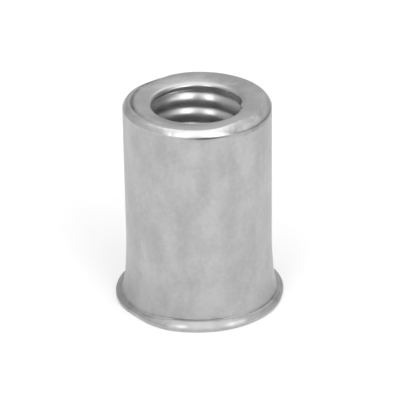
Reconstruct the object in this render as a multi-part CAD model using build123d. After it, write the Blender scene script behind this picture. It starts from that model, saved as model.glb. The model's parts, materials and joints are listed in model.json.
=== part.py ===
from build123d import *

import os
from math import asin, degrees, radians, tan

# A blind rivet nut for an M8 screw: a round shank with a small flat head and an open end.
#
# It is one cold-formed piece of aluminium. A screw goes in at the head, passes a wide thin-walled
# stretch and screws into the thread at the far end. When the nut is set, the tool pulls the thread
# towards the head, and the thin wall folds out behind the sheet. The head, the thin wall and the
# threaded end are therefore one revolved solid whose inside steps from wide to narrow.
#
# Frame: millimetres, +Z from the head to the threaded end. The origin is the centre of the
# head's outer face, which is what the nut stands on. The sizes nest outwards from the screw.
# The thread's core is a plain hole here, at the thread's minor diameter.

# The screw and its thread.
screw_diameter = 8.0
thread_pitch = 1.25
thread_length = 8.0
minor_diameter_per_pitch = 1.0825  # of an ISO metric thread: major less minor, over the pitch

# The thin-walled stretch that folds when the nut is set.
screw_clearance = 0.5  # around the screw
thin_wall = 1.0
shoulder_angle = 60.0  # of the step between the two bores, from the axis
bore_chamfer = 0.2  # at the head

# The outside.
length = 16.0  # over the head
head_overhang = 0.9  # past the shank, all round
head_thickness = 0.45
head_edge_radius = 0.12  # both edges of the head's rim
neck_swell = 0.28  # how far the shank swells where it meets the head
neck_height = 5.2  # above the head's outer face, where the swelling has died away
neck_fillet = 0.12  # between the swollen neck and the head
end_round_width = 0.55  # the rounded outer corner of the threaded end, across
end_round_height = 0.4  # and along the axis

# The rounded mouth of the threaded end.
mouth_round_width = 0.6  # across
mouth_round_depth = 0.45  # and along the axis

# What follows from them.
thread_radius = (screw_diameter - minor_diameter_per_pitch * thread_pitch) / 2
bore_radius = screw_diameter / 2 + screw_clearance
shank_radius = bore_radius + thin_wall
neck_radius = shank_radius + neck_swell
head_radius = shank_radius + head_overhang
thread_start = length - thread_length
shoulder_height = (bore_radius - thread_radius) / tan(radians(shoulder_angle))

CUT_SPARE = 1.0  # how far a cut runs on past the face that it opens


def neck_arc():
    """The swelling of the shank: one long hollow arc, tangent to the straight shank above it."""
    rise = neck_height - head_thickness
    arc_radius = (rise**2 + neck_swell**2) / (2 * neck_swell)
    centre = (shank_radius + arc_radius, neck_height)
    return CenterArc(centre, arc_radius, 180, degrees(asin(rise / arc_radius)))


def end_corner():
    """The rounded outer corner of the threaded end, a quarter of an ellipse."""
    centre = (shank_radius - end_round_width, length - end_round_height)
    return EllipticalCenterArc(centre, end_round_width, end_round_height, arc_size=90)


def blank_section():
    """Half the section of the piece before its bores are made, from the axis outwards."""
    neck = neck_arc()
    corner = end_corner()
    outline = Curve() + [
        Polyline((0, 0), (head_radius, 0), (head_radius, head_thickness), neck @ 1),
        neck,
        Line(neck @ 0, corner @ 0),
        corner,
        Polyline(corner @ 1, (0, length), (0, 0)),
    ]
    section = make_face(outline)
    rim = section.vertices().group_by(Axis.X)[-1]
    section = fillet(rim, head_edge_radius)
    inner_corner = section.vertices().sort_by_distance((neck_radius, head_thickness))[0]
    return fillet(inner_corner, neck_fillet)


def mouth_corner():
    """The rounded inner corner of the threaded end, a quarter of an ellipse."""
    centre = (thread_radius + mouth_round_width, length - mouth_round_depth)
    return EllipticalCenterArc(
        centre, mouth_round_width, mouth_round_depth, start_angle=90, arc_size=90
    )


def bore_section():
    """Half the section of the bores: entry, thin-walled stretch, shoulder, thread core, mouth."""
    shoulder_start = thread_start - shoulder_height
    entry_radius = bore_radius + bore_chamfer
    mouth = mouth_corner()
    outline = Curve() + [
        Polyline(
            (0, -CUT_SPARE),
            (entry_radius, -CUT_SPARE),
            (entry_radius, 0),
            (bore_radius, bore_chamfer),
            (bore_radius, shoulder_start),
            (thread_radius, thread_start),
            mouth @ 1,
        ),
        mouth,
        Polyline(
            mouth @ 0,
            mouth @ 0 + (0, CUT_SPARE),
            (0, length + CUT_SPARE),
            (0, -CUT_SPARE),
        ),
    ]
    return make_face(outline)


def rivet_nut():
    """The whole nut: the blank turned about its axis, less its bores."""
    blank = revolve(Plane.XZ * blank_section(), Axis.Z)
    bores = revolve(Plane.XZ * bore_section(), Axis.Z)
    return blank - bores


def main():
    os.makedirs("parts", exist_ok=True)
    nut = rivet_nut()
    nut.label = "rivet_nut"
    export_step(nut, "parts/rivet_nut.step")
    box = nut.bounding_box().size
    print(f"rivet_nut: {box.X:.2f} x {box.Y:.2f} x {box.Z:.2f} mm, {nut.volume:.1f} mm3")


main()
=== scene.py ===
# %% [markdown]
# # A blind rivet nut in bare aluminium
#
# A rivet nut is one small cold-formed piece: a round shank with a thin flat head at one end and a
# thread at the other. It stands on its head here, with the open threaded end up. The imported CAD
# model gives its true sizes, with a plain hole where the thread goes. This script makes the
# surface that the eye sees: the thread, the soft edges, the knocks, and two finishes of the same
# metal.

# %% The frame
import json
from math import cos, radians, sin

import bmesh
import bpy
import numpy as np
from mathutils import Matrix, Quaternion, Vector


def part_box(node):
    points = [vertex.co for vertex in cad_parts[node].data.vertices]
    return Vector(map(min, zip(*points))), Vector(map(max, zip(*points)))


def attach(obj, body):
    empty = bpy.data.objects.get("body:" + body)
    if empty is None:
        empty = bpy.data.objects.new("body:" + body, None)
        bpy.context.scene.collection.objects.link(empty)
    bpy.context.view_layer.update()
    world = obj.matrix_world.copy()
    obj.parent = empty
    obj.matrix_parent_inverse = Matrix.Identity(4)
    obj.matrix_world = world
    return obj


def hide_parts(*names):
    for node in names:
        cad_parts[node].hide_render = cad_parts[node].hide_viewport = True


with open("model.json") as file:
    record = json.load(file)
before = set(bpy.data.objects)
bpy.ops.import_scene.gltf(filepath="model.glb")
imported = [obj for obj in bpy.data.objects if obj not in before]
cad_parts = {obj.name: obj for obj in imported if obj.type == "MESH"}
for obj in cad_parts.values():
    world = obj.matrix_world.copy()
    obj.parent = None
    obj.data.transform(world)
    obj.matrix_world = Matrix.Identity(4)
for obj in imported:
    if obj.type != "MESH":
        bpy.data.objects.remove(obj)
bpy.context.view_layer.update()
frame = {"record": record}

MM = 0.001


# %% [markdown]
# ## Sizes
#
# The main sizes could be typed in again, but then a change in the model would not reach this
# surface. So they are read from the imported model: its box gives the length and the head, and its
# mounts give the shank, the thread's core and the wide bore. Sizes that no mount states are named
# further down, where they are first needed. All are in millimetres, and the mesh is turned to
# metres at the very end.

# %% Sizes from the frame
mounts = {mount["name"]: mount for mount in frame["record"]["mounts"]}


def mount_radius(name):
    return mounts[name]["dims"]["r_mm"]


def mount_span(name):
    """The lowest and highest point of a round mount's wall."""
    middle = mounts[name]["pos_m"][2] / MM
    half = mounts[name]["dims"]["length_mm"] / 2
    return middle - half, middle + half


cad_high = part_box("rivet_nut")[1]
length = cad_high.z / MM
head_radius = cad_high.x / MM
head_thickness = mounts["head_seat"]["pos_m"][2] / MM
shank_radius = mount_radius("shank")
core_radius = mount_radius("thread")
bore_radius = mount_radius("collapse_bore")
neck_top = mount_span("shank")[0]
bore_chamfer, bore_top = mount_span("collapse_bore")
thread_bottom = mount_span("thread")[0]
print(f"length {length:.2f}, head {2 * head_radius:.2f}, shank {2 * shank_radius:.2f} mm")

# %% [markdown]
# ## Camera
#
# The nut is looked down on from a little under thirty degrees, so the thread shows through the
# mouth. A short lens close by would spread the sides and make the near part of the head look too
# large. A long lens from far off keeps the sides nearly parallel, as the eye expects of a small
# part.

# %% Camera
CAMERA_HEIGHT = 27.34  # degrees above the floor
CAMERA_DISTANCE = 173.5  # mm from the point that it aims at
CAMERA_ROLL = -0.82  # degrees
LENS = 208.2  # focal length in mm
camera_aim = Vector((0.114, 0, 7.765))
towards_camera = Vector((0, -cos(radians(CAMERA_HEIGHT)), sin(radians(CAMERA_HEIGHT))))

camera = bpy.data.objects.new("camera", bpy.data.cameras.new("camera"))
camera.data.lens = LENS
camera.data.clip_start = 10 * MM
camera.location = (camera_aim + towards_camera * CAMERA_DISTANCE) * MM
level = towards_camera.to_track_quat("Z", "Y")
camera.rotation_mode = "QUATERNION"
camera.rotation_quaternion = level @ Quaternion((0, 0, 1), radians(CAMERA_ROLL))
bpy.context.scene.collection.objects.link(camera)
bpy.context.scene.camera = camera
print("camera at", [round(c / MM, 1) for c in camera.location], "mm")

# %% [markdown]
# ## The outside
#
# The outside is a turned shape. It could be a cylinder with bevelled edges, but each edge of this
# piece is rounded in its own way. So half a section is drawn with straight stretches and
# elliptical arcs, and then spun. A section is a list of points, each a radius and a height, and
# each point becomes one ring of the mesh. Rings are close together where the surface bends and
# where dents will go, and wider apart where it is plain.

# %% Stretches of a section
COLUMNS = 264  # points in one ring
around = np.arange(COLUMNS) * 2 * np.pi / COLUMNS


def smooth_step(value, start, stop):
    """Rises from 0 to 1 between start and stop, with soft ends."""
    share = np.clip((value - start) / (stop - start), 0, 1)
    return share * share * (3 - 2 * share)


def run(start, stop, rows):
    """Points along a straight stretch, without its first."""
    share = np.linspace(0, 1, rows + 1)[1:, None]
    return np.array(start) + share * (np.array(stop) - np.array(start))


def arc(centre, across, along, start, stop, rows):
    """Points along an elliptical arc, without its first. Angles are in degrees from outwards."""
    turn = np.radians(np.linspace(start, stop, rows + 1)[1:])
    return np.stack([centre[0] + across * np.cos(turn), centre[1] + along * np.sin(turn)], 1)


print("a quarter arc of 1 mm in two rows ends at", arc((0, 0), 1, 1, 0, 90, rows=2)[-1].round(3))

# %% [markdown]
# ### Head and neck
#
# The head is pressed in a die, so its rim is tight at the outer face and softer above, and it
# thins a little outwards. The neck swells in one long hollow curve towards the head. A curve
# object could be drawn for it, but a square law gives the same line in one step: it is level with
# the shank where it starts, and spreads fastest at its foot.

# %% Head and neck
HEAD_EDGE = 0.06  # the rounded edge at the outer face
HEAD_ROUND = (0.1, 0.06)  # the rim's other edge, across and along the axis
HEAD_SLOPE = 0.12  # how far the head thins towards its rim
NECK_FILLET = 0.25  # where the neck meets the head
NECK_SWELL = 0.28
FLARE_WIDTH = 0.07  # the neck spreads a little more in its lowest part
FLARE_HEIGHT = 1.3


def bore_and_head(head_round, rim_top, seat, fillet):
    """From the top of the wide bore down, round the head and in to the foot of the neck."""
    across, along = head_round
    rim = head_radius - HEAD_EDGE
    bore_mouth = bore_radius + bore_chamfer
    fillet_centre = (shank_radius + NECK_SWELL + FLARE_WIDTH + fillet, seat + fillet)
    return np.concatenate(
        [
            run((bore_radius, bore_top), (bore_radius, bore_chamfer), rows=16),
            run((bore_radius, bore_chamfer), (bore_mouth, 0), rows=2),
            run((bore_mouth, 0), (rim, 0), rows=6),
            arc((rim, HEAD_EDGE), HEAD_EDGE, HEAD_EDGE, -90, 0, rows=4),
            run((head_radius, HEAD_EDGE), (head_radius, rim_top - along), rows=2),
            arc((head_radius - across, rim_top - along), across, along, 0, 90, rows=10),
            run((head_radius - across, rim_top), (fillet_centre[0], seat), rows=5),
            arc(fillet_centre, fillet, fillet, -90, -180, rows=6),
        ]
    )


def neck(bottom, rows):
    """The hollow swelling above the head, without its first point. Rows are closer at its foot."""
    share = np.linspace(0, 1, rows + 1)[1:]
    height = bottom + share**1.5 * (neck_top - bottom)
    swell = NECK_SWELL * (1 - (height - bottom) / (neck_top - bottom)) ** 2
    flare = FLARE_WIDTH * np.clip(1 - (height - bottom) / FLARE_HEIGHT, 0, 1) ** 2
    return np.stack([shank_radius + swell + flare, height], 1)


plain_head = (HEAD_ROUND, head_thickness - HEAD_SLOPE, head_thickness, NECK_FILLET)
neck_row = len(bore_and_head(*plain_head)) - 1
print("the head takes", neck_row + 1, "rows")

# %% [markdown]
# ### The corner of the open end
#
# The punch leaves a soft shoulder at the open end. One arc would do for a new part, but then its
# highlight is one even line. Three arcs, each tangent to the next, give a shoulder that is nearly
# flat in the middle and shines as a band. The same corner is also drawn as it looks where it was
# crushed: a tight fold, then a slope up to the end face. In both, a fine line can run below the
# corner, where metal was turned over.

# %% The corner of the open end
END_ARCS = (
    # radius, first and last angle, rows
    (0.06, 0, 30, 4),
    (1.7, 30, 42, 6),
    (0.3, 42, 90, 8),
)
FOLD_RADIUS = 0.26  # where the crushed corner meets the shank
FOLD_ANGLE = 62
BEVEL_RADIUS = 4.7  # where its slope meets the end face
BEVEL_HEIGHT = 0.42  # of the slope
LINE_WIDTH = 0.18  # of the turned-over line, along the axis
LINE_DEPTH = 0.05


def turned_over_line(top, depth):
    """The wall draws in below this height and steps out again at it."""
    share = np.linspace(0, 1, 8)[:-1]
    return np.stack([shank_radius - depth * share**1.5, top - LINE_WIDTH * (1 - share)], 1)


def round_end(line_depth=0.0):
    rises = [r * (sin(radians(stop)) - sin(radians(start))) for r, start, stop, _ in END_ARCS]
    foot = length - sum(rises)
    stretches = [turned_over_line(foot, line_depth), np.array([(shank_radius, foot)])]
    for radius, start, stop, rows in END_ARCS:
        first = stretches[-1][-1]
        centre = first - radius * np.array((cos(radians(start)), sin(radians(start))))
        stretches.append(arc(centre, radius, radius, start, stop, rows))
    return np.concatenate(stretches)


def crushed_end():
    foot = (shank_radius, length - BEVEL_HEIGHT - FOLD_RADIUS)
    centre = (shank_radius - FOLD_RADIUS, foot[1])
    fold = arc(centre, FOLD_RADIUS, FOLD_RADIUS, 0, FOLD_ANGLE, rows=8)
    slope = run(fold[-1], (BEVEL_RADIUS, length), rows=10)
    return np.concatenate([turned_over_line(foot[1], LINE_DEPTH), [foot], fold, slope])


print("the corner takes", len(round_end()), "rows round and", len(crushed_end()), "crushed")

# %% [markdown]
# ### The whole section
#
# The stretches are joined from the inside of the bore, round the head and up to the end face. A
# straight stretch could do with two points, but the long one of the shank gets many, so that a
# dent has points to move. Whatever its sizes, each section has as many points as the next, which
# the wear further down relies on.

# %% Half a section of the outside
def outside_section(head, end):
    """The wide bore, the head, the shank and its end."""
    lower = bore_and_head(*head)
    swelling = neck(lower[-1, 1], rows=28)
    straight = run((shank_radius, neck_top), end[0], rows=50)
    return np.concatenate([lower, swelling, straight, end[1:]])


crisp = outside_section(plain_head, round_end())
print(len(crisp), "rows of", COLUMNS, "points outside")

# %% [markdown]
# ## Wear on the outside
#
# Thousands of these nuts tumble together, so each one is knocked a little. Sculpting would give
# such knocks, but nobody could read or repeat them afterwards. Here more sections are drawn, each
# for a nut that is worn all the way round: one whose head is knocked to a cone, one with a crushed
# corner, and one with the turned-over line. Each is mixed in only where that knock fell. All
# sections have as many points, so mixing them is a plain sum. Angles are in degrees from the
# front, to the right.

# %% Where the wear is
CONE_ROUND = (0.06, 0.06)  # the rim's upper edge where the head was knocked to a cone
CONE_FOOT = 0.31  # the cone rises from this height at the rim
CONE_TOP = 0.7  # to this one at the neck
CONE_FILLET = 0.02
# Of each knock: its angle, its half width and how much of the worn section it takes.
CONE_KNOCKS = ((7, 30, 1.0), (-14, 12, 0.5))
CRUSHED_KNOCKS = ((42, 20, 1.0), (72, 18, 0.8), (-140, 20, 0.5))
LINE_KNOCKS = ((6, 11, 1.0),)
angle_from_front = (np.degrees(around) + 90 + 180) % 360 - 180


def bell(value, middle, half_width):
    """A smooth bump of height 1, which has faded away at about twice its half width."""
    return np.exp(-(((value - middle) / half_width) ** 2))


def bell_around(angle, half_width):
    """A bump round the nut, with its middle at this angle."""
    return bell((angle_from_front - angle + 180) % 360 - 180, 0, half_width)


def share_around(knocks):
    return np.clip(sum(share * bell_around(angle, width) for angle, width, share in knocks), 0, 1)


coned_head = (CONE_ROUND, CONE_FOOT, CONE_TOP, CONE_FILLET)
worn_sections = (
    (outside_section(coned_head, round_end()), CONE_KNOCKS),
    (outside_section(plain_head, crushed_end()), CRUSHED_KNOCKS),
    (outside_section(plain_head, round_end(LINE_DEPTH)), LINE_KNOCKS),
)
outside = np.repeat(crisp[:, None, :], COLUMNS, 1)
for worn, knocks in worn_sections:
    outside = outside + (worn - crisp)[:, None, :] * share_around(knocks)[:, None]
outside_r, outside_z = outside[:, :, 0], outside[:, :, 1]
print("the head is", outside_z[neck_row].max().round(2), "mm high where its cone meets the neck")

# %% [markdown]
# ### Pushes and dents
#
# A blow on the thin rim moves it in or out, and a blow on the shank leaves a shallow dent. Each is
# one smooth bell that moves the wall along its radius, so the mesh stays clean. The cleft over the
# cone is a bell too, along the line where the neck begins.

# %% Pushes and dents
A_HAIR = 0.01
CLEFT_DEPTH = 0.05
CLEFT_HEIGHT = 0.05
RIM_PUSHES = (
    # angle, half width, and how far in mm
    (-52, 14, -0.16),
    (-22, 9, 0.07),
    (75, 12, -0.05),
    (150, 16, -0.08),
)
DENTS = (
    # angle, height, half size and depth in mm
    (-2, 14.0, 0.5, 0.02),
    (1, 12.9, 0.7, 0.03),
    (-16, 13.9, 0.9, 0.025),
    (-14, 12.6, 0.5, 0.02),
    (12, 13.4, 0.5, 0.015),
    (40, 8.4, 0.8, 0.03),
    (34, 3.2, 0.9, 0.03),
    (-50, 10.0, 1.2, 0.03),
    (-28, 4.2, 1.1, 0.02),
    (130, 11.0, 1.0, 0.04),
    (-115, 7.0, 1.3, 0.04),
    (165, 5.0, 0.9, 0.03),
)
MIDDLE_OF_WALL = (bore_radius + shank_radius) / 2  # what is further out is the outside


def bell_on(radius, angle, half_size):
    """A bump round the nut whose half width is in mm at this radius."""
    return bell_around(angle, np.degrees(half_size / radius))


cleft = bell(outside_z, outside_z[neck_row], CLEFT_HEIGHT) * share_around(CONE_KNOCKS)
outside_r = outside_r - CLEFT_DEPTH * cleft
on_head = outside_z < head_thickness + A_HAIR
towards_rim = smooth_step(outside_r, MIDDLE_OF_WALL, head_radius)
push = sum(far * bell_around(angle, width) for angle, width, far in RIM_PUSHES)
outside_r = outside_r + on_head * towards_rim * push
on_shank = outside_r > MIDDLE_OF_WALL
for angle, height, size, depth in DENTS:
    dent = bell_on(shank_radius, angle, size) * bell(outside_z, height, size)
    outside_r = outside_r - on_shank * depth * dent
print(len(DENTS), "dents, the deepest", max(dent[-1] for dent in DENTS), "mm")

# %% [markdown]
# ## The thread
#
# The thread is what makes this a nut. A bump in the finish would look flat where the light grazes
# it, and a boolean cut would leave a ragged mesh. A thread is a ridge on a helix, so here the rows
# of the mesh climb with it: each crest and each root is then a clean line. The wall that carries
# the thread is followed as one path, from the step inside, up the straight core and over the
# rounded lip of the mouth. The groove fades in a little below the mouth, as the tool's entry leaves
# it, and the larger of the two radii wins, with a soft edge between them.

# %% The wall that carries the thread
LIP_WIDTH = 0.6  # the rounded lip of the mouth, across
LIP_DEPTH = 0.45  # its foot, below the end face
LIP_RISE = 0.32  # how high its ellipse rises: its top is a little under the end face
LIP_END = 117  # where it runs out into the end face, in degrees of its ellipse

lip_foot = length - LIP_DEPTH
lip = arc((core_radius + LIP_WIDTH, lip_foot), LIP_WIDTH, LIP_RISE, 180, LIP_END, rows=16)
step_and_core = [(bore_radius, bore_top), (core_radius, thread_bottom), (core_radius, lip_foot)]
wall = np.concatenate([step_and_core, lip])
wall_steps = np.hypot(*np.diff(wall, axis=0).T)
# A place is a distance along the wall. It is counted so that on the core it is the height, too.
wall_place = np.cumsum([thread_bottom - wall_steps[0], *wall_steps])
print(f"the wall is {wall_place[-1] - wall_place[0]:.2f} mm long, from the bore to the end face")

# %% The form of the thread
PITCH = 1.25
THREAD_ROWS = 24  # in one pitch
THREAD_DEPTH = 0.46  # a soft rounded thread is shallower than the full form
THREAD_PHASE = -0.91  # the root of the thread at the back of the wall, from the end face
THREAD_FADE = (0.4, 0.9)  # below the end face: where the groove begins, and where it is whole
LOWER_FLANK = 4 * PITCH / THREAD_ROWS  # the height of the flank that faces down
UPPER_SLOPE = 0.85  # of the flank that faces up
UPPER_STRAIGHT = 0.15  # the height of its straight part
UPPER_ROUND = 0.78  # and of its round into the crest
LIP_SOFTNESS = 0.08  # of the edge between the plain wall and the thread


def soft_larger(a, b, softness):
    """The larger of two radii, with the corner between them rounded."""
    return (a + b + np.sqrt((a - b) ** 2 + softness**2)) / 2


def thread_radius(angle, height):
    """The radius of a soft, rounded, right-handed thread at this angle and height."""
    root = length + THREAD_PHASE + PITCH * (angle / (2 * np.pi) - 0.25)
    below_root = (root - height) % PITCH
    straight = np.minimum(below_root, UPPER_STRAIGHT)
    into_round = np.clip(below_root - UPPER_STRAIGHT, 0, UPPER_ROUND)
    fall = straight + into_round - into_round**2 / (2 * UPPER_ROUND)
    upper = THREAD_DEPTH - UPPER_SLOPE * fall
    lower = THREAD_DEPTH * (below_root - PITCH + LOWER_FLANK) / LOWER_FLANK
    groove = np.maximum(np.maximum(upper, lower), 0)
    return core_radius + groove * smooth_step(length - height, *THREAD_FADE)


def wall_point(angle, place):
    """Radius and height of the threaded wall at this distance along it."""
    place = np.clip(place, wall_place[0], wall_place[-1])
    height = np.interp(place, wall_place, wall[:, 1])
    plain = np.interp(place, wall_place, wall[:, 0])
    return soft_larger(plain, thread_radius(angle, height), LIP_SOFTNESS), height


middle = (thread_bottom + length) / 2
profile = thread_radius(0, np.linspace(middle, middle + PITCH, 50))
print(f"the thread runs from {profile.min():.2f} to {profile.max():.2f} mm in radius")

# %% [markdown]
# ### Rows that climb
#
# After one turn, a row that climbs with the thread arrives one pitch higher, where the row that is
# THREAD_ROWS further on starts. So there are rows to spare at both ends. Where a row would run past
# an end of the wall it is held at that end, and its points are merged there later. Rows that are
# held all the way round are dropped, apart from one turn of them, which the seam needs.

# %% Rows that climb with the thread
row_height = PITCH / THREAD_ROWS
root_at_start = length + THREAD_PHASE - PITCH / 4  # where the first column crosses the root
first_row = np.floor((wall_place[0] - root_at_start) / row_height) - 2 * THREAD_ROWS
rows_needed = int((wall_place[-1] - wall_place[0]) / row_height) + 3 * THREAD_ROWS
helix = root_at_start + (first_row + np.arange(rows_needed)) * row_height

angles, places = np.meshgrid(around, helix)
places = places + PITCH * angles / (2 * np.pi)
places[places < wall_place[0] + row_height / 3] = wall_place[0]
places[places > wall_place[-1] - row_height / 3] = wall_place[-1]
last_below = int(np.argmax(places[:, -1] > wall_place[0])) - 1
first_above = len(helix) - int(np.argmax(places[::-1, 0] < wall_place[-1]))
keep = slice(max(last_below - THREAD_ROWS, 0), first_above + THREAD_ROWS + 1)
angles, places = angles[keep], places[keep]
wall_r, wall_z = wall_point(angles, places)
print(len(places), "rows on the threaded wall,", THREAD_ROWS, "to a turn")

# %% [markdown]
# ### Dents in the mouth
#
# Where the edge of the mouth was struck, metal is pushed inwards as a small burr. It could be a
# piece of its own, laid over the edge, but it is the same metal. So it is made like the dents
# outside, with bells that draw the wall in.

# %% Dents in the mouth
MOUTH_DENTS = (
    # angle, height, half sizes across and along, and depth in mm: the metal is pushed inwards
    (88, 15.5, 0.5, 0.2, 0.22),
    (70, 15.7, 0.3, 0.15, 0.08),
    (106, 15.75, 0.35, 0.12, 0.06),
)
for angle, height, across, along, depth in MOUTH_DENTS:
    wall_r = wall_r - depth * bell_on(core_radius, angle, across) * bell(wall_z, height, along)
print(len(MOUTH_DENTS), "dents in the mouth")

# %% [markdown]
# ## The end face
#
# The face between the corner and the mouth was struck by a punch, so it is not quite flat. A flat
# ring would reflect one even grey. This one is dished: it starts with the slope that the lip ends
# with and levels out as a parabola, so no edge shows between them. The die also left a fine crease
# in it, a little off centre, which shows on one side only.

# %% The end face
FACE_ROWS = 24
CREASE_CENTRE = (-0.15, 0.1)
CREASE_RADIUS = 4.66
CREASE_WIDTH = 0.1
CREASE_DEPTH = 0.18
CREASE_ANGLE = -88
CREASE_REACH = 48

lip_slope = -LIP_RISE * cos(radians(LIP_END)) / (LIP_WIDTH * sin(radians(LIP_END)))
dish_depth = length - wall[-1, 1]
dish_width = 2 * dish_depth / lip_slope
corner_r, mouth_r = outside_r[-1], wall_r[-1]
share = np.linspace(1, 0, FACE_ROWS + 2)[1:-1, None]
face_r = mouth_r + share * (corner_r - mouth_r)
dish = np.clip(1 - (face_r - mouth_r) / dish_width, 0, 1) ** 2
face_x = face_r * np.cos(around) - CREASE_CENTRE[0]
face_y = face_r * np.sin(around) - CREASE_CENTRE[1]
crease = bell(np.hypot(face_x, face_y), CREASE_RADIUS, CREASE_WIDTH)
crease = crease * bell_around(CREASE_ANGLE, CREASE_REACH)
face_z = length - dish_depth * dish - CREASE_DEPTH * crease
print(f"the end face is dished by {dish_depth:.2f} mm and creased by {CREASE_DEPTH} mm")

# %% [markdown]
# ## Rubbed places, painted highlights and painted shade
#
# Metal that rubs against other metal gets smoother and brighter. Here the lighter colour of the
# rubbed places is partly a painted highlight, set where the highlights shine, and the dark lines
# are painted shade, set where shade falls. A noise pattern can't know where an edge or a crease is,
# and a painted texture would be one more file to keep. So each point of the mesh carries two
# numbers, how rubbed and highlighted it is and how shaded, and the finish reads them. The rubbed
# places are the corner of the open end, most of all at the front, and three painted highlight
# spots on the head. The painted shade lies in the crease, in the lines by both edges and on the
# lower sides of the shank; the colour is also darker on the end face before the mouth and in two
# small marks on the front of the shank.

# %% Rubbed places, painted highlights and painted shade
RUBBED_FOOT = 0.5  # the corner is rubbed from this far below the end face
RUBBED_TOP = 0.35  # and fully so from this far below it
RUBBED_ALL_ROUND = 0.2
RUBBED_SHEEN_FRONT = (10, 60, 0.5)  # angle, half width, and how much more it is rubbed and painted with highlight there
RUBBED_SHEEN_SPOTS = (
    # painted highlights on the head, with rubbing: angle, height, half width in degrees, half height in
    # mm, and how much
    (-13, 0.38, 4, 0.07, 0.9),
    (22, 0.37, 4, 0.08, 0.9),
    (30, 0.37, 4, 0.08, 0.7),
)
SHADE_AND_DARK_SPOTS = (
    # painted shade and two small dark marks: angle, height, half width in degrees, half height in mm,
    # and how dark
    # painted shade in the line under the corner of the open end
    (8, 15.5, 14, 0.08, 1.0),
    # painted shade in the cleft where the neck meets the head
    (-6, 0.72, 30, 0.04, 0.4),
    # two small dark marks on the front of the shank
    (-4, 13.2, 9, 0.05, 0.2),
    (2, 13.9, 4, 0.06, 0.2),
    # painted shade on the lower sides of the shank
    (-72, 1.4, 16, 1.3, 0.25),
    (66, 1.2, 14, 1.1, 0.2),
)
# painted shade in the die's crease
SHADE_IN_CREASE = 0.4
MOUTH_ANGLE = (-18, 32)  # of the darkening before the mouth, with its half width
MOUTH_DISTANCE = (4.0, 0.5)  # from the axis in mm, with its half width
DARKER_BY_MOUTH = 0.4

radii = np.concatenate([outside_r, face_r, wall_r])
heights = np.concatenate([outside_z, face_z, wall_z])


def sum_of_spots(spots):
    """A bell on the whole nut for each spot, added up."""
    return sum(
        amount * bell_around(angle, wide) * bell(heights, height, tall)
        for angle, height, wide, tall, amount in spots
    )


front_angle, front_width, front_amount = RUBBED_SHEEN_FRONT
on_corner = smooth_step(heights, length - RUBBED_FOOT, length - RUBBED_TOP)
# Painted highlight with the rubbing: over the corner, most of all at the front, and in three spots on
# the head.
rubbed = (RUBBED_ALL_ROUND + front_amount * bell_around(front_angle, front_width)) * on_corner
rubbed = rubbed + sum_of_spots(RUBBED_SHEEN_SPOTS)
by_mouth = bell_around(*MOUTH_ANGLE) * bell(face_r, *MOUTH_DISTANCE)
# Painted shade in the lines, the crease and on the lower sides; darker before the mouth and in two small
# marks.
grimy = sum_of_spots(SHADE_AND_DARK_SPOTS) * (radii > MIDDLE_OF_WALL)
face_rows = slice(len(outside_r), len(outside_r) + FACE_ROWS)
grimy[face_rows] += SHADE_IN_CREASE * crease + DARKER_BY_MOUTH * by_mouth
print("rubbed up to", rubbed.max().round(2), "and grimy up to", grimy.max().round(2))

# %% [markdown]
# ## One closed mesh
#
# The rings of the outside and the end face and the climbing rows of the wall are joined here. The
# rings close on themselves. The climbing rows don't: the end of each is joined to the start of the
# row one turn further on. The first and last rows of the wall meet the first and last rings, where
# the held points merge. A closed mesh has no loose edge, so light can't leak through it, and it
# prints and exports as one solid.

# %% Faces between rows
def faces_between(lower, upper):
    """Four-sided faces between two rows of point numbers."""
    return np.stack([lower[:-1], lower[1:], upper[1:], upper[:-1]], 1)


def closed(row):
    return np.append(row, row[0])


numbers = np.arange(radii.size).reshape(-1, COLUMNS)
rings = numbers[: len(outside_r) + FACE_ROWS]
climbing = numbers[len(rings) :]
faces = [faces_between(closed(a), closed(b)) for a, b in zip(rings, rings[1:])]
faces.append(faces_between(closed(climbing[0]), closed(rings[0])))
faces.append(faces_between(closed(rings[-1]), closed(climbing[-1])))
faces += [faces_between(b, a) for a, b in zip(climbing, climbing[1:])]
seam_ends = climbing[: -THREAD_ROWS, -1]
seam_starts = climbing[THREAD_ROWS:, 0]
faces.append(np.stack([seam_ends[1:], seam_starts[1:], seam_starts[:-1], seam_ends[:-1]], 1))
faces = np.concatenate(faces)
threaded = (faces >= rings.size).all(1)
print(radii.size, "points and", len(faces), "faces before merging")

# %% The nut's mesh
SHARP_ANGLE = 34  # edges that turn more than this stay crisp
MERGE_DISTANCE = 0.0002


def make_nut():
    points = np.stack([radii * np.cos(around), radii * np.sin(around), heights], -1)
    mesh = bpy.data.meshes.new("rivet_nut_surface")
    mesh.from_pydata((points.reshape(-1, 3) * MM).tolist(), [], faces.tolist())
    mesh.polygons.foreach_set("material_index", threaded.astype(np.int32))
    mesh.polygons.foreach_set("use_smooth", np.ones(len(faces), bool))
    # Each point carries its rubbing with painted highlight, and its painted shade with two dark marks.
    for name, amount in (("rubbed", rubbed), ("grimy", grimy)):
        attribute = mesh.attributes.new(name, "FLOAT", "POINT")
        attribute.data.foreach_set("value", amount.ravel().astype(np.float32))
    made = bmesh.new()
    made.from_mesh(mesh)
    bmesh.ops.remove_doubles(made, verts=made.verts, dist=MERGE_DISTANCE * MM)
    bmesh.ops.dissolve_degenerate(made, edges=made.edges, dist=MERGE_DISTANCE * MM)
    bmesh.ops.recalc_face_normals(made, faces=made.faces)
    made.to_mesh(mesh)
    mesh.set_sharp_from_angle(angle=radians(SHARP_ANGLE))
    open_edges = sum(not edge.is_manifold for edge in made.edges)
    triangles = sum(len(face.verts) - 2 for face in made.faces)
    made.free()
    print(triangles, "triangles,", open_edges, "open edges")
    nut = bpy.data.objects.new("rivet_nut_surface", mesh)
    bpy.context.scene.collection.objects.link(nut)
    return nut


nut = make_nut()

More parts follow.
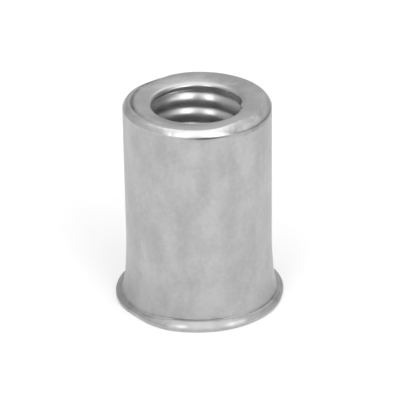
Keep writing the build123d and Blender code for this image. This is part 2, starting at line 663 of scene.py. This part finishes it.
# %% [markdown]
# ## Finishes
#
# The nut is bare aluminium with two finishes, so it takes two materials. Aluminium is a metal: its
# colour is the colour of its reflections, it has no colour under them, and the difference between
# dull and bright metal is mostly roughness and small bumps. One helper adds every node: it sets
# the node's settings, gives each input a value or a link, and hands back one output.

# %% Helpers for materials
def linear(hex_colour):
    """A colour written as sRGB hex, as the linear values that the shaders take."""
    values = [int(hex_colour[i : i + 2], 16) / 255 for i in (1, 3, 5)]
    return [v / 12.92 if v <= 0.04045 else ((v + 0.055) / 1.055) ** 2.4 for v in values] + [1]


def add(tree, kind, inputs=None, output=0, **settings):
    """Adds a node. Each input gets a value, or a link from the socket given for it."""
    node = tree.nodes.new(kind)
    for name, value in settings.items():
        setattr(node, name, value)
    for name, value in (inputs or {}).items():
        if isinstance(value, bpy.types.NodeSocket):
            tree.links.new(value, node.inputs[name])
        else:
            node.inputs[name].default_value = value
    return node.outputs[output] if node.outputs else None


def new_material(name):
    material = bpy.data.materials.new(name)
    material.use_nodes = True
    tree = material.node_tree
    tree.nodes.clear()
    return material, tree


def noise_scale(size):
    """The scale that gives a noise features of this size in millimetres."""
    return 1 / (size * MM)


print("a light grey in linear light:", [round(v, 3) for v in linear("#BFBFBF")[:3]])

# %% [markdown]
# ### Tumbled aluminium
#
# After forming, the nuts are tumbled in a drum with others. That leaves aluminium matt and light
# grey, with soft cloudy stains where its oxide is thicker, and with tiny dents all over. An even
# grey with one roughness would look like plastic. So one noise makes the stains, which run along
# the axis, a finer one adds grain, and two bumps make the dents: small sharp ones and wide soft
# ones. Rubbed places turn smooth, and their colour is lightened as a painted highlight; places of
# painted shade turn dark. The true grain is finer than can be seen at this size, so it is drawn
# coarser, as it needs to be to show.

# %% Tumbled aluminium
STAIN_SIZE = 1.8  # all of these in mm
STAIN_RATE = 0.6  # the noise runs slower along the axis, which draws the stains out
GRAIN_SIZE = 0.3
DENT_SIZE = 0.6
BRUISE_SIZE = 1.4


def tumbled_aluminium():
    material, tree = new_material("tumbled aluminium")
    place = add(tree, "ShaderNodeTexCoord", output="Object")

    # Clouds and grain between two greys. Dull aluminium reflects about half of the light.
    drawn_out = add(tree, "ShaderNodeMapping", {"Vector": place, "Scale": (1, 1, STAIN_RATE)})
    stains = add(
        tree,
        "ShaderNodeTexNoise",
        {"Vector": drawn_out, "Scale": noise_scale(STAIN_SIZE), "Detail": 3, "Roughness": 0.55},
    )
    grain = add(
        tree,
        "ShaderNodeTexNoise",
        {"Vector": place, "Scale": noise_scale(GRAIN_SIZE), "Detail": 3, "Roughness": 0.6},
    )
    mottle = add(tree, "ShaderNodeMix", {"Factor": 0.25, "A": stains, "B": grain}, output="Result")
    spread = add(tree, "ShaderNodeMapRange", {"Value": mottle, "From Min": 0.38, "From Max": 0.62})
    oxide = add(
        tree,
        "ShaderNodeMix",
        {"Factor": spread, "A": linear("#ABABAB"), "B": linear("#BFBFBF")},
        output="Result",
        data_type="RGBA",
    )

    # Rubbed metal loses its oxide, and its colour is lightened more as a painted highlight.
    # Painted shade then darkens the colour in lines, in the crease and low on the sides.
    rubbed_and_sheen_here = add(tree, "ShaderNodeAttribute", output="Fac", attribute_name="rubbed")
    bright = add(
        tree,
        "ShaderNodeMix",
        {"Factor": rubbed_and_sheen_here, "A": oxide, "B": linear("#ECECEC")},
        output="Result",
        data_type="RGBA",
    )
    shade_and_dark_marks_here = add(tree, "ShaderNodeAttribute", output="Fac", attribute_name="grimy")
    colour = add(
        tree,
        "ShaderNodeMix",
        {"Factor": shade_and_dark_marks_here, "A": bright, "B": linear("#585858")},
        output="Result",
        data_type="RGBA",
    )

    # Matt, a little less where the stains are thin, and smoother where it is rubbed.
    matt = add(
        tree,
        "ShaderNodeMapRange",
        {"Value": stains, "From Min": 0.3, "From Max": 0.7, "To Min": 0.38, "To Max": 0.48},
    )
    roughness = add(tree, "ShaderNodeMix", {"Factor": rubbed_and_sheen_here, "A": matt, "B": 0.3}, output="Result")

    # Wide soft bruises, and small dents on top of them.
    bruises = add(
        tree,
        "ShaderNodeTexNoise",
        {"Vector": place, "Scale": noise_scale(BRUISE_SIZE), "Detail": 2, "Roughness": 0.5},
    )
    dents = add(
        tree,
        "ShaderNodeTexNoise",
        {"Vector": place, "Scale": noise_scale(DENT_SIZE), "Detail": 4, "Roughness": 0.55},
    )
    soft = add(tree, "ShaderNodeBump", {"Height": bruises, "Strength": 0.6, "Distance": 0.12 * MM})
    bump = add(
        tree,
        "ShaderNodeBump",
        {"Height": dents, "Normal": soft, "Strength": 0.4, "Distance": 0.05 * MM},
    )
    metal = add(
        tree,
        "ShaderNodeBsdfPrincipled",
        {"Base Color": colour, "Metallic": 1, "Roughness": roughness, "Normal": bump},
    )
    add(tree, "ShaderNodeOutputMaterial", {"Surface": metal})
    return material


outer_metal = tumbled_aluminium()
print(outer_metal.name, "has", len(outer_metal.node_tree.nodes), "nodes")

# %% [markdown]
# ### Tapped aluminium
#
# The thread is formed after the tumbling, and the tool burnishes it. So the same metal is lighter
# here, with narrower reflections along each ridge. Its roughness is lower, but not a mirror's,
# since the tool drags a little. It could have been the same material with one more number in the
# mesh, but the border is a sharp one, so a second material is simpler. Its faint patches, its
# roughness and its bumps come from one noise, as the marks of one tool do.

# %% Tapped aluminium
PATCH_SIZE = 0.8


def tapped_aluminium():
    material, tree = new_material("tapped aluminium")
    place = add(tree, "ShaderNodeTexCoord", output="Object")
    patches = add(
        tree,
        "ShaderNodeTexNoise",
        {"Vector": place, "Scale": noise_scale(PATCH_SIZE), "Detail": 3, "Roughness": 0.5},
    )
    bare = add(
        tree,
        "ShaderNodeMix",
        {"Factor": patches, "A": linear("#BABABA"), "B": linear("#C8C8C8")},
        output="Result",
        data_type="RGBA",
    )
    # The rubbed lip of the mouth is lightened as a painted highlight, like the corner.
    rubbed_and_sheen_here = add(tree, "ShaderNodeAttribute", output="Fac", attribute_name="rubbed")
    colour = add(
        tree,
        "ShaderNodeMix",
        {"Factor": rubbed_and_sheen_here, "A": bare, "B": linear("#E4E4E4")},
        output="Result",
        data_type="RGBA",
    )
    roughness = add(
        tree,
        "ShaderNodeMapRange",
        {"Value": patches, "From Min": 0.3, "From Max": 0.7, "To Min": 0.29, "To Max": 0.35},
    )
    bump = add(tree, "ShaderNodeBump", {"Height": patches, "Strength": 0.15, "Distance": 0.03 * MM})
    metal = add(
        tree,
        "ShaderNodeBsdfPrincipled",
        {"Base Color": colour, "Metallic": 1, "Roughness": roughness, "Normal": bump},
    )
    add(tree, "ShaderNodeOutputMaterial", {"Surface": metal})
    return material


# The faces of the threaded wall have material index 1, so the tapped metal comes second.
nut.data.materials.append(outer_metal)
nut.data.materials.append(tapped_aluminium())
print("materials:", [material.name for material in nut.data.materials])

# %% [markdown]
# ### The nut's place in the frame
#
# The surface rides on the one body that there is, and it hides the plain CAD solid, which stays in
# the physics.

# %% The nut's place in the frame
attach(nut, "root")
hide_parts("rivet_nut")
print(nut.name, "rides on root and stands for rivet_nut")

# %% [markdown]
# ## The floor
#
# A small part on white needs a floor that looks white but still takes its soft shadow. More light
# would whiten the floor, but it would burn out the metal too. Instead the card is a pale grey that
# glows a little, and only where it is looked at: by the camera, or as a reflection in metal or
# glass. A matt surface gets no light from the glow.

# %% Floor
FLOOR_RADIUS = 400


def white_card():
    material, tree = new_material("white card")
    camera_ray = add(tree, "ShaderNodeLightPath", output="Is Camera Ray")
    glossy_ray = add(tree, "ShaderNodeLightPath", output="Is Glossy Ray")
    through_glass = add(tree, "ShaderNodeLightPath", output="Is Transmission Ray")
    mirrored = add(tree, "ShaderNodeMath", {0: glossy_ray, 1: through_glass}, operation="MAXIMUM")
    seen = add(tree, "ShaderNodeMath", {0: camera_ray, 1: mirrored}, operation="MAXIMUM")
    card = add(tree, "ShaderNodeBsdfDiffuse", {"Color": linear("#EEEEEE")})
    glow = add(tree, "ShaderNodeEmission", {"Color": linear("#787878"), "Strength": seen})
    both = add(tree, "ShaderNodeAddShader", {0: card, 1: glow})
    add(tree, "ShaderNodeOutputMaterial", {"Surface": both})
    return material


def make_floor():
    made = bmesh.new()
    bmesh.ops.create_circle(made, cap_ends=True, segments=64, radius=FLOOR_RADIUS * MM)
    mesh = bpy.data.meshes.new("floor")
    made.to_mesh(mesh)
    made.free()
    mesh.materials.append(white_card())
    floor = bpy.data.objects.new("floor", mesh)
    bpy.context.scene.collection.objects.link(floor)
    return floor


floor = make_floor()
print("floor of", 2 * FLOOR_RADIUS, "mm across")

# %% [markdown]
# ## Lights
#
# Round metal is drawn by what it mirrors. One lamp would give each ridge of the thread a single
# hard line. Two tall softboxes, left and right of the camera, give each ridge two soft highlights
# with a darker gap between them, and light both sides of the shank evenly.

# %% Lights
SOFTBOX_HEIGHT = 31  # degrees above the floor
SOFTBOX_DISTANCE = 300
SOFTBOXES = (
    # name, azimuth from the camera's side to the right, width and height in mm, watts
    ("left softbox", -27, 95, 180, 0.145),
    ("right softbox", 30, 125, 180, 0.19),
)


def direction_to(azimuth, height):
    a, h = radians(azimuth), radians(height)
    return (sin(a) * cos(h), -cos(a) * cos(h), sin(h))


for name, azimuth, width, tall, watts in SOFTBOXES:
    light = bpy.data.lights.new(name, "AREA")
    light.shape = "RECTANGLE"
    light.size = width * MM
    light.size_y = tall * MM
    light.energy = watts
    lamp = bpy.data.objects.new(name, light)
    direction = Vector(direction_to(azimuth, SOFTBOX_HEIGHT))
    lamp.location = (direction * SOFTBOX_DISTANCE + Vector((0, 0, length / 2))) * MM
    lamp.rotation_mode = "QUATERNION"
    lamp.rotation_quaternion = direction.to_track_quat("Z", "Y")
    bpy.context.scene.collection.objects.link(lamp)
print(len(SOFTBOXES), "softboxes")

# %% [markdown]
# ## The room around
#
# The rest of the light comes from the room, which the metal mirrors too. A room picture would do,
# but here it is built from a few soft round cards that anyone can move. The wall is dim at the
# floor and lighter above. Over it go the cards, one after the other: each is full inside its half
# angle and fades over its soft edge. A dim card is as useful as a bright one, since it shades what
# mirrors it. What the camera sees directly is plain white.

# %% The room around
HORIZON_LEVEL = 0.24
WALL_LEVEL = 0.62
WALL_HEIGHT = 32  # degrees above the horizon, where the wall reaches its level
CARDS = (
    # azimuth from the camera's side to the right, height, half angle, soft edge, level
    (110, 80, 34, 24, 1.4),  # overhead, for all that faces up
    (180, 8, 25, 25, 0.55),  # low behind, for the grey of the end face
    (95, 18, 25, 22, 0.25),  # dim, shades the crushed corner and the left of the thread
    (-95, 18, 20, 22, 0.6),  # lifts the left of the corner
    (-150, 38, 10, 15, 0.4),  # dim, shades the end face at the back right
    (58, 18, 6, 14, 1.6),  # a glint on the thread and under the crushed corner
)


def make_room():
    world = bpy.data.worlds.new("studio")
    world.use_nodes = True
    tree = world.node_tree
    tree.nodes.clear()
    looking = add(tree, "ShaderNodeTexCoord", output="Generated")
    rise = add(tree, "ShaderNodeSeparateXYZ", {0: looking}, output="Z")
    level = add(
        tree,
        "ShaderNodeMapRange",
        {
            "Value": rise,
            "From Max": sin(radians(WALL_HEIGHT)),
            "To Min": HORIZON_LEVEL,
            "To Max": WALL_LEVEL,
        },
        interpolation_type="SMOOTHSTEP",
    )
    for azimuth, height, half, edge, card_level in CARDS:
        nearness = add(
            tree,
            "ShaderNodeVectorMath",
            {0: looking, 1: direction_to(azimuth, height)},
            output="Value",
            operation="DOT_PRODUCT",
        )
        inside = add(
            tree,
            "ShaderNodeMapRange",
            {
                "Value": nearness,
                "From Min": cos(radians(half + edge)),
                "From Max": cos(radians(half)),
            },
            interpolation_type="SMOOTHSTEP",
        )
        lit = {"Factor": inside, "A": level, "B": card_level}
        level = add(tree, "ShaderNodeMix", lit, output="Result")
    camera_ray = add(tree, "ShaderNodeLightPath", output="Is Camera Ray")
    strength = add(tree, "ShaderNodeMix", {"Factor": camera_ray, "A": level, "B": 1}, output="Result")
    white = linear("#FFFFFF")
    background = add(tree, "ShaderNodeBackground", {"Color": white, "Strength": strength})
    add(tree, "ShaderNodeOutputWorld", {"Surface": background})
    return world


bpy.context.scene.world = make_room()
bpy.context.scene.view_settings.view_transform = "Standard"
print("a room with", len(CARDS), "cards")
